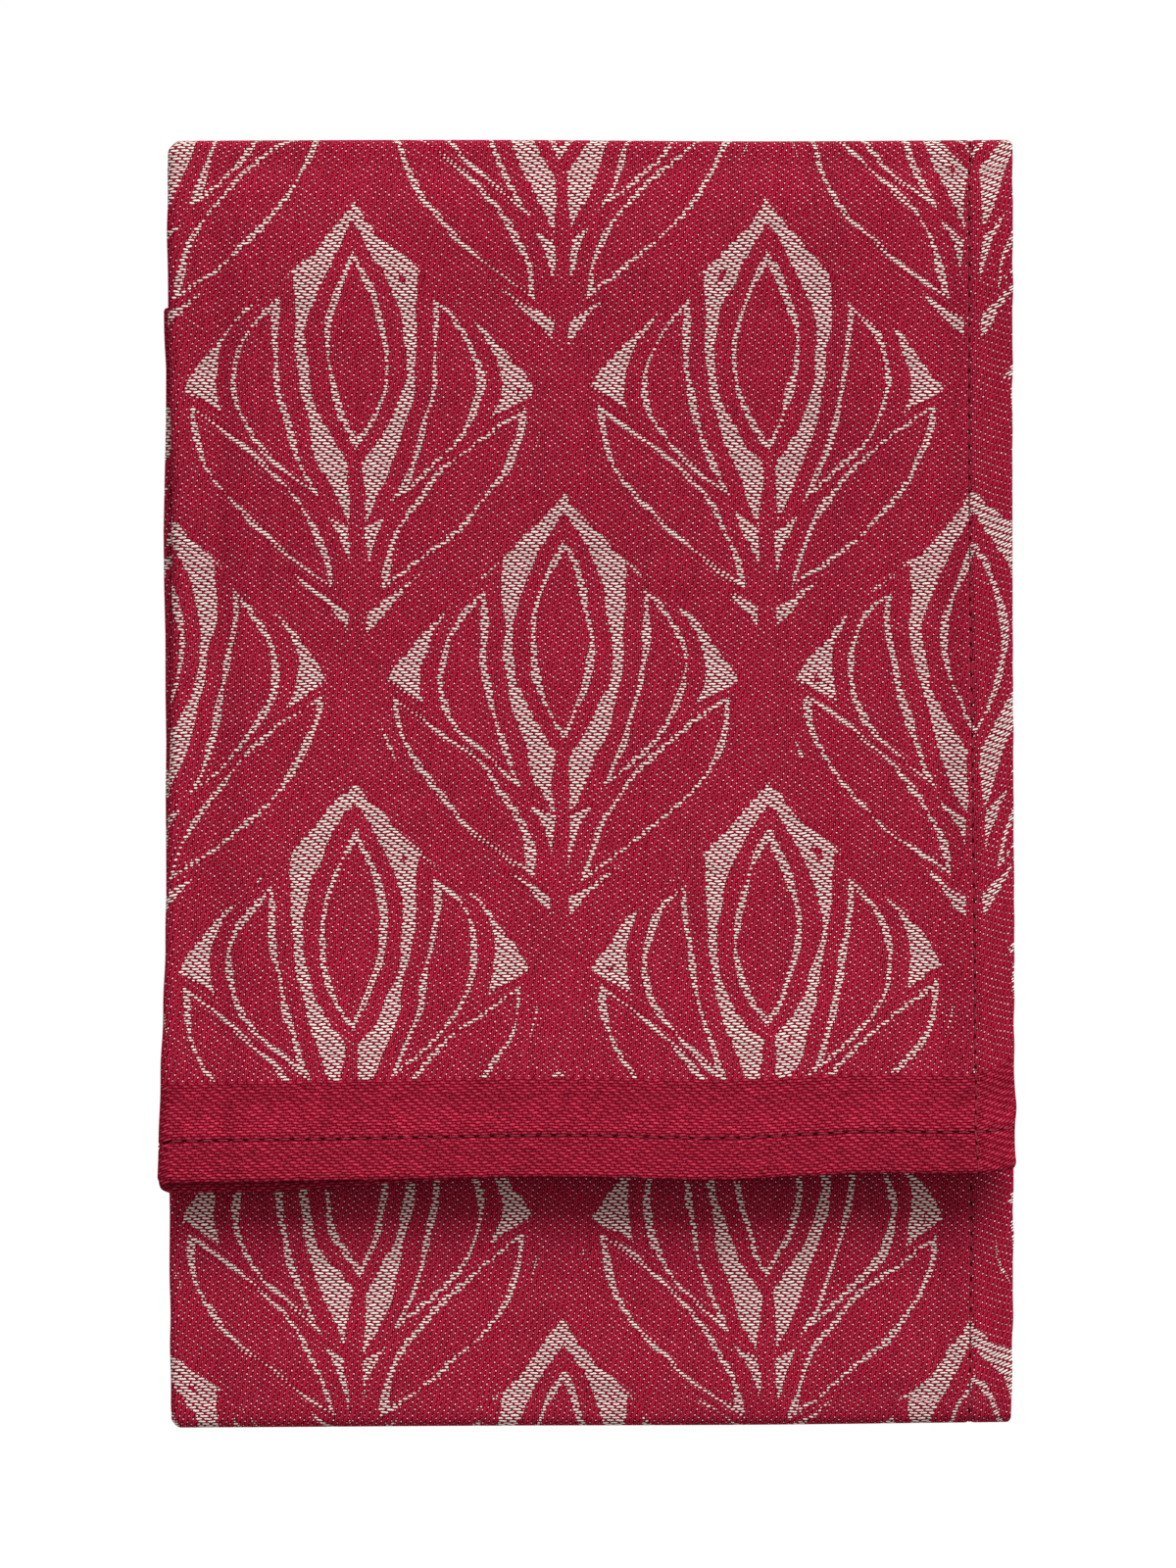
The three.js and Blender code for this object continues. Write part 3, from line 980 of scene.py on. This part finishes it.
def inside_figure(x, y):
    """How far a place is inside the cream figure. It is below 0 on the red ground."""
    _, wobble = noise_at(x, y, WOBBLE_SIZE, 1.0)
    bent = add_node("ShaderNodeSeparateColor", Color=wobble)
    stroke, _ = noise_at(x + STROKE_APART, y, STROKE_SIZE, 1.0)
    x = x + Wire(bent.outputs[0]) * WOBBLE - (TRELLIS_AT[0] + WOBBLE / 2)
    y = y + Wire(bent.outputs[1]) * WOBBLE - (TRELLIS_AT[1] + WOBBLE / 2)

    from_column = math_node("PINGPONG", x, REPEAT_ACROSS / 2)
    y_here = wrapped(y + REPEAT_ALONG / 2, REPEAT_ALONG) - REPEAT_ALONG / 2
    y_next = wrapped(y, REPEAT_ALONG) - REPEAT_ALONG / 2
    turn = y_here * (2 * math.pi / REPEAT_ALONG)
    opening = math_node("COSINE", turn) * (REPEAT_ACROSS / 4) + REPEAT_ACROSS / 4
    slope = math_node("SINE", turn) * (math.pi / 2 * REPEAT_ACROSS / REPEAT_ALONG)
    in_opening = opening - from_column
    here = in_opening > 0.0
    from_band = abs(in_opening) / math_node("SQRT", slope * slope + 1.0) - BAND_HALF
    x_sprig = blend(REPEAT_ACROSS / 2 - from_column, from_column, here)
    y_sprig = blend(y_next, y_here, here)

    petals = outside_petal(x_sprig, y_sprig, PETALS[0])
    for petal in PETALS[1:]:
        petals = least(petals, outside_petal(x_sprig, y_sprig, petal))
    shapes = least(from_band, least(petals, outside_petal(x_sprig, y_sprig, STEM)))
    from_shapes = shapes - stroke * EDGE_VARIES - SHAPES_SWELL
    ground = least(from_shapes, stroke * GROUND_VARIES + GROUND_WIDTH - from_shapes)
    line = stroke * LINE_VARIES + LINE_HALF - abs(petals + LINE_IN)
    return most(ground, line)


# %% [markdown]
# ## The satin weave
# The ground is a five-end satin: each red lengthwise yarn, an end, floats over four cream crosswise yarns,
# the picks, and goes under the fifth, where the pick shows as a small dot. In the figure the two change
# places, so cream floats lie crosswise. The hem band is woven like the figure, with red picks.
# Whole numbers of ends and picks give each crossing its place. The dots step on by two ends at each pick.
# A pitch is the space that one yarn takes, in millimetres. Widths of yarns and dots are in half pitches.
# The relief of the yarns goes in as a normal, worked out from each float's round top. That is exact and
# far quicker to render than a bump of the whole figure.

# %% The cloth's colours and yarns
END_PITCH = 0.3986
PICK_PITCH = 0.581
REPEAT = 5
STEP_ENDS = 2
STEP_PICKS = 3
END_BAND = 20.3
HEM_PULL = 0.18
HEM_PULL_MORE = 0.0194

WARP_RED = (0.275, 0.003, 0.02, 1)
# A lighter, pinker red, painted sheen on the tops of the red floats.
WARP_SHEEN_RED = (0.485, 0.02, 0.058, 1)
# A pinker red: painted sheen on the tops of the band's floats, and the own tone of faint dots and thread
# fibres.
BAND_RED = (0.49, 0.052, 0.088, 1)
CREAM = (0.93, 0.83, 0.77, 1)
# A near-black red, painted shade in the open gaps between yarns.
GAP_SHADE_RED = (0.09, 0.001, 0.007, 1)
UNDER_RED = (0.24, 0.003, 0.017, 1)
THREAD_RED = (0.17, 0.006, 0.018, 1)

END_HALF_WIDTH = 1.3
PICK_HALF_WIDTH = 0.66
BAND_HALF_WIDTH = 0.86
BAND_SHIFT = 0.16
SLOT_SHORT = 0.55
SLOT_VARIES = 0.5
BAND_DASH = 1.15
BAND_VARIES = 0.24
DASH_STRAYS = 0.5
CROSSING_VARIES = 0.3
CROSSING_FILLED = 0.6
CUT_LENGTH = 0.22
DOT_HALF_WIDTH = 0.56
DOT_HALF_LENGTH = 0.45
DOT_VARIES = 0.7
BODY_EDGE = 2.2
FLOAT_LEAN = 0.3
# How much painted shade darkens the round flanks of a yarn.
RIDGE_SHADE = 0.24
YARN_VARIES = 0.14
FLOAT_VARIES = 0.22
YARN_SWAY = 0.5
SWAY_SIZE = 2.4
DOT_FADES = 0.8
MOTTLE = 0.08
MOTTLE_SIZE = 23.0
BAND_FILLED = 0.35
RIDGE_SLOPE = 0.55
END_SLOPE = 0.4
FLOAT_MIDDLE = 3.0
FLOAT_DIP = 0.3
FULL_BODY = 1.05
END_DRAW = 7.0
PICK_DRAW = 3.0
print(f"{10 / END_PITCH:.1f} ends and {10 / PICK_PITCH:.1f} picks a centimetre")


# %% Start and finish a material
def start_material(name):
    """A new material to make nodes in."""
    global making
    material = bpy.data.materials.new(name)
    material.use_nodes = True
    making = material.node_tree
    making.nodes.clear()
    return material


def finish_material(colour, roughness, normal, **constants):
    """End a material in a Principled shader. Constants stay on the shader's own sockets."""
    shader = add_node("ShaderNodeBsdfPrincipled")
    plug(colour, shader.inputs["Base Color"])
    plug(roughness, shader.inputs["Roughness"])
    plug(normal, shader.inputs["Normal"])
    for name, value in constants.items():
        shader.inputs[name.replace("_", " ")].default_value = value
    output = add_node("ShaderNodeOutputMaterial")
    making.links.new(shader.outputs[0], output.inputs["Surface"])


# %% The woven cotton
woven_cotton = start_material("woven cotton")
map_node = add_node("ShaderNodeUVMap", {"uv_map": "cloth"})
flat_place = add_node("ShaderNodeSeparateXYZ", Vector=Wire(map_node.outputs[0]))
u, v = Wire(flat_place.outputs[0]), Wire(flat_place.outputs[1])
wrong = Wire(add_node("ShaderNodeAttribute", {"attribute_name": "wrong_side"}).outputs["Fac"]) > 0.5

from_side = CLOTH_WIDTH / 2 - abs(u - CLOTH_WIDTH / 2)
from_end = CLOTH_LENGTH / 2 - abs(v - CLOTH_LENGTH / 2)
into_hem = most(SIDE_HEM - from_side, 0.0)
_, sway = noise_at(u, v, SWAY_SIZE, 1.0)
swayed = add_node("ShaderNodeSeparateColor", Color=sway)
ends = (u + (Wire(swayed.outputs[0]) - 0.5) * YARN_SWAY) * (1 / END_PITCH)
pulled_v = v + (Wire(swayed.outputs[1]) - 0.5) * YARN_SWAY - into_hem * (into_hem * HEM_PULL_MORE + HEM_PULL)
picks = pulled_v * (1 / PICK_PITCH)
end, pick = floor(ends), floor(picks)
across_end = (ends - end) * 2.0 - 1.0
across_pick = (picks - pick) * 2.0 - 1.0
end_run = picks - end * STEP_PICKS
pick_run = ends - pick * STEP_ENDS
end_float = wrapped(end_run, REPEAT)
pick_float = wrapped(pick_run, REPEAT)
dot = end_float < 1.0

pick_v = (pick + 0.5) * PICK_PITCH
in_band = (CLOTH_LENGTH / 2 - abs(pick_v - CLOTH_LENGTH / 2)) < END_BAND
into_figure = inside_figure(ends * END_PITCH, pick_v)
figure = (into_figure > 0.0) * (1.0 - in_band)
crosswise = abs(most(figure, in_band) - wrong)
shows_pick = abs(crosswise - dot)

ridge = blend(across_end, across_pick, crosswise)
beside = blend(across_pick, across_end, crosswise)
float_place = blend(end_float, pick_float, crosswise) * 0.5 - FLOAT_MIDDLE / 2
along = blend(float_place, beside, dot)
leaned = ridge + along * (1.0 - crosswise) * FLOAT_LEAN
print("yarns and crossings:", len(making.nodes), "nodes")

# %% [markdown]
# Each float is a long round body and each dot a small one, and where neither reaches, the gap between
# yarns shows: near-black painted shade where it is open, the red of the yarns beneath where the figure or a
# ground dot fills it, and partly so in the band. Chance makes yarns, floats and crossings uneven, each by its
# own draw. In the band the floats look like short dashes, each with a small slot of painted shadow below it.

# %% The yarns and the gaps between them
along_square = along * along
yarn_chance = blend(chance(end, END_DRAW), chance(pick, PICK_DRAW), shows_pick)
end_float_chance = chance(end, floor(end_run / REPEAT))
pick_float_chance = chance(pick, floor(pick_run / REPEAT))
float_chance = blend(end_float_chance, pick_float_chance, shows_pick)
dot_chance = chance(end, pick)
half_width = blend(END_HALF_WIDTH, PICK_HALF_WIDTH, crosswise)
banded = in_band * crosswise
cut = (1.0 - clamped(into_figure * (1 / CUT_LENGTH))) * figure
plain_body = leaned * leaned / (half_width * half_width) + along_square * along_square + cut * cut
slot = (1.0 - along_square * SLOT_SHORT) * (float_chance * SLOT_VARIES + (1 - SLOT_VARIES / 2))
from_dash = ridge - BAND_SHIFT + (dot_chance - 0.5) * DASH_STRAYS
band_body = from_dash * from_dash * BAND_HALF_WIDTH**-2 * slot
float_body = blend(plain_body, band_body, banded)
dot_body = across_end * across_end * DOT_HALF_WIDTH**-2 + across_pick * across_pick * DOT_HALF_LENGTH**-2
dot_size = (dot_chance * DOT_VARIES + (1 - DOT_VARIES / 2)) * (1.0 - banded * CROSSING_FILLED)
body = blend(float_body, dot_body * dot_size, dot)
covered = clamped((FULL_BODY - body) * BODY_EDGE)

# %% The colours of the yarns
mottle, _ = noise_at(u, v, MOTTLE_SIZE, 2.0)
floats_vary = (float_chance - 0.5) * (banded * BAND_VARIES + FLOAT_VARIES)
crossings_vary = (dot_chance - 0.5) * banded * CROSSING_VARIES
uneven = (yarn_chance - 0.5) * YARN_VARIES + floats_vary + crossings_vary + mottle * MOTTLE
# Painted shade on the flanks of each round yarn, darker away from its ridge, times the yarns' random
# unevenness of tone.
shade = (1.0 - leaned * leaned * RIDGE_SHADE) * (uneven + 1.0)
faint = dot_chance * dot_chance * dot * DOT_FADES
pick_colour = blend_colour(CREAM, BAND_RED, faint)
# Painted sheen: the top of a red float is lighter and pinker, in the band the band's red, and it falls off to
# the plain warp red on its flanks and towards its ends.
off_sheen = clamped(leaned * leaned + along_square * (banded * BAND_DASH + FLOAT_DIP))
sheen_red = blend_colour(WARP_SHEEN_RED, BAND_RED, in_band * shows_pick)
red_colour = blend_colour(sheen_red, WARP_RED, off_sheen)
yarn_colour = blend_colour(red_colour, pick_colour, shows_pick * (1.0 - in_band))
# Between the yarns: near-black painted shade where the gap is open, the red of the yarns beneath where it is
# filled.
filled = most(most(figure, in_band * BAND_FILLED), dot * (1.0 - crosswise))
between = blend_colour(GAP_SHADE_RED, UNDER_RED, filled)
colour = blend_colour(between, yarn_colour, covered)
print("with their colours:", len(making.nodes), "nodes")


# %% Painted shade of the needle holes and stitch lines
HOLE_HALF = 0.27
SIDE_HOLE = 0.16
END_HOLE = 0.26
HOLE_SHADE = 0.9
HOLE_NARROWS = 0.25
LINE_SHADE = 0.28


def stitch_line_shade(from_line, along_line, hole_share):
    """The painted shade of a line of stitches: thin along its groove, near-black in the needle hole at each
    end of a stitch.
    """
    near = 1.0 - least(abs(from_line) * (1 / HOLE_HALF), 1.0)
    to_hole = math_node("PINGPONG", along_line, HALF_STITCH)
    hole = (to_hole < hole_share * STITCH) * (near > HOLE_NARROWS)
    return most(hole * HOLE_SHADE, near * LINE_SHADE)


# Painted shade in the stitch grooves and needle holes darkens the cloth along both hem lines.
stitch_shade = most(stitch_line_shade(from_side - SIDE_HEM, v, SIDE_HOLE), stitch_line_shade(from_end - END_HEM, u, END_HOLE))
shade = shade * (1.0 - stitch_shade)

# %% [markdown]
# The top fold's edge gets painted shade. A soft band on the map, darkest in its middle, makes the cloth a
# shade darker there.

# %% Painted shade on the top fold's edge
FOLD_SHADE = 0.36
FOLD_REACH = 8.0
fold_middle = first_row("top fold") + TOP_TURN_STEPS // 2
top_edge_v = float(v_map[fold_middle, COVER_COUNT // 2])
# Painted shade: the cloth is darkened in a soft band along the top fold's edge.
top_edge_shading = clamped(1.0 - abs(v - top_edge_v) * (1 / FOLD_REACH))
shade = shade * (1.0 - top_edge_shading * FOLD_SHADE)
print("the top fold's edge lies at", round(top_edge_v, 1), "mm along the cloth")

# %% Relief of the yarns, and the shader
FUZZ_SIZE = 0.16
FUZZ_STRENGTH = 0.25
FUZZ_DEPTH = 0.05
COTTON_ROUGH = 0.97
TOPS_SMOOTHER = 0.15

across_slope = leaned * RIDGE_SLOPE
along_slope = along * blend(along_square, 1.0, dot) * END_SLOPE
u_slope = blend(across_slope, along_slope, crosswise)
v_slope = blend(along_slope, across_slope, crosswise)
normal_colour = place(u_slope * 0.5 + 0.5, v_slope * 0.5 + 0.5, 1.0)
yarn_normal = Wire(add_node("ShaderNodeNormalMap", {"uv_map": "cloth"}, Color=normal_colour).outputs[0])
fuzz, _ = noise_at(u, v, FUZZ_SIZE, 1.0)
fibres = add_node(
    "ShaderNodeBump", Strength=FUZZ_STRENGTH, Distance=FUZZ_DEPTH * MM, Height=fuzz, Normal=yarn_normal
)
scaled = add_node("ShaderNodeVectorMath", {"operation": "SCALE"})
plug(colour, scaled.inputs[0])
plug(shade, scaled.inputs["Scale"])
roughness = COTTON_ROUGH - covered * TOPS_SMOOTHER
finish_material(Wire(scaled.outputs[0]), roughness, Wire(fibres.outputs[0]), Specular_IOR_Level=0.0)
print("woven cotton:", len(making.nodes), "nodes")

# %% [markdown]
# The thread is the same red, darker. Fine noise stands for its fibres, in colour, gloss and relief. It has no
# map of its own, so the noise reads Object coordinates.

# %% Sewing thread
FIBRE_SCALE = 3500.0
PLY_STRENGTH = 0.5
PLY_DEPTH = 0.08
PLY_LIGHTER = 0.5
THREAD_ROUGH = 0.9
PLY_SMOOTHER = 0.2
THREAD_SHINE = 0.3

sewing_thread = start_material("sewing thread")
fibre_place = Wire(add_node("ShaderNodeTexCoord").outputs["Object"])
fibre_noise = add_node("ShaderNodeTexNoise", Vector=fibre_place, Scale=FIBRE_SCALE, Detail=2.0)
ply = Wire(fibre_noise.outputs[0])
ply_bump = add_node("ShaderNodeBump", Strength=PLY_STRENGTH, Distance=PLY_DEPTH * MM, Height=ply)
thread_colour = blend_colour(THREAD_RED, BAND_RED, ply * PLY_LIGHTER)
thread_roughness = THREAD_ROUGH - ply * PLY_SMOOTHER
finish_material(thread_colour, thread_roughness, Wire(ply_bump.outputs[0]), Specular_IOR_Level=THREAD_SHINE)
print("sewing thread:", len(making.nodes), "nodes")

# %% [markdown] ## Dressing the towel Now the two pieces become objects.

# %% Dress the towel
towel = put_in_scene("towel_cloth", sheet, woven_cotton)
for face in threads.faces:
    face.smooth = True
stitches = put_in_scene("hem_stitches", threads, sewing_thread)

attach(towel, "root")
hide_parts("towel")
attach(stitches, "root")
print("the sheet has", sum(len(face.vertices) - 2 for face in towel.data.polygons), "triangles")

# %% [markdown]
# ## Floor, camera and light
# The photograph looks straight down on a bare white ground. The floor is a grey sheet that glows white by
# itself, so that only a breath of shadow is left on it. The camera hangs over the middle of the picture,
# high enough for its long lens to see the towel at the photograph's size.
# A large soft light comes from beyond the top right, low enough for the hem end to throw its shadow. It is
# a sun lamp of wide angle, so that both ends of the towel get the same light, as in the photograph. The
# white surroundings fill in the rest.

# %% Floor
FLOOR_SIZE = 3.0
FLOOR_GREY = (0.1, 0.1, 0.1, 1)
FLOOR_GLOW = 0.97
floor_bm = bmesh.new()
bmesh.ops.create_grid(floor_bm, x_segments=1, y_segments=1, size=FLOOR_SIZE / 2)
white_floor = start_material("white floor")
floor_shader = add_node("ShaderNodeBsdfPrincipled")
floor_shader.inputs["Base Color"].default_value = FLOOR_GREY
floor_shader.inputs["Roughness"].default_value = 1.0
floor_shader.inputs["Specular IOR Level"].default_value = 0.0
floor_shader.inputs["Emission Color"].default_value = (1, 1, 1, 1)
floor_shader.inputs["Emission Strength"].default_value = FLOOR_GLOW
making.links.new(floor_shader.outputs[0], add_node("ShaderNodeOutputMaterial").inputs["Surface"])
floor_sheet = put_in_scene("floor", floor_bm, white_floor)
print("a floor of", FLOOR_SIZE, "m")

# %% Camera
SENSOR = 36.0
LENS = 400.0
PHOTO_PIXELS = (1200, 1600)
PIXEL = 0.1993
VIEW_HEIGHT = PHOTO_PIXELS[1] * PIXEL
TOP_OF_TOWEL = 11.6
VIEW_LOWER = 0.15
VIEW_MIDDLE = (shift[0] * MM, (shift[1] - VIEW_LOWER) * MM)

camera_data = bpy.data.cameras.new("camera")
camera_data.lens = LENS
camera_data.sensor_width = SENSOR
camera_data.sensor_fit = "AUTO"
camera = bpy.data.objects.new("camera", camera_data)
camera.location = (*VIEW_MIDDLE, (TOP_OF_TOWEL + VIEW_HEIGHT * LENS / SENSOR) * MM)
bpy.context.scene.collection.objects.link(camera)
bpy.context.scene.camera = camera
print("the camera is", round(camera.location.z, 3), "m above the floor")

# %% Light
LIGHT_FROM = Vector((0.3, 0.8, 0.52))
LIGHT_SPREAD = math.radians(42)
LIGHT_POWER = 3.56
SKY_TOP = 0.59
SKY_SIDE = 0.03

soft_light = bpy.data.lights.new("soft light", "SUN")
soft_light.angle = LIGHT_SPREAD
soft_light.energy = LIGHT_POWER
lamp = bpy.data.objects.new("soft light", soft_light)
lamp.location = LIGHT_FROM
lamp.rotation_euler = LIGHT_FROM.to_track_quat("Z", "Y").to_euler()
bpy.context.scene.collection.objects.link(lamp)

world = bpy.data.worlds.new("white room")
world.use_nodes = True
making = world.node_tree
direction = Wire(add_node("ShaderNodeTexCoord").outputs["Generated"])
sky_place = add_node("ShaderNodeSeparateXYZ", Vector=direction)
height = most(Wire(sky_place.outputs[2]), 0.0)
background = making.nodes["Background"]
background.inputs["Color"].default_value = (1, 1, 1, 1)
plug(height * (SKY_TOP - SKY_SIDE) + SKY_SIDE, background.inputs["Strength"])
bpy.context.scene.world = world
bpy.context.scene.view_settings.view_transform = "Standard"
print(f"a sun lamp of {math.degrees(LIGHT_SPREAD):.0f} degrees, and a sky {SKY_TOP} bright overhead")
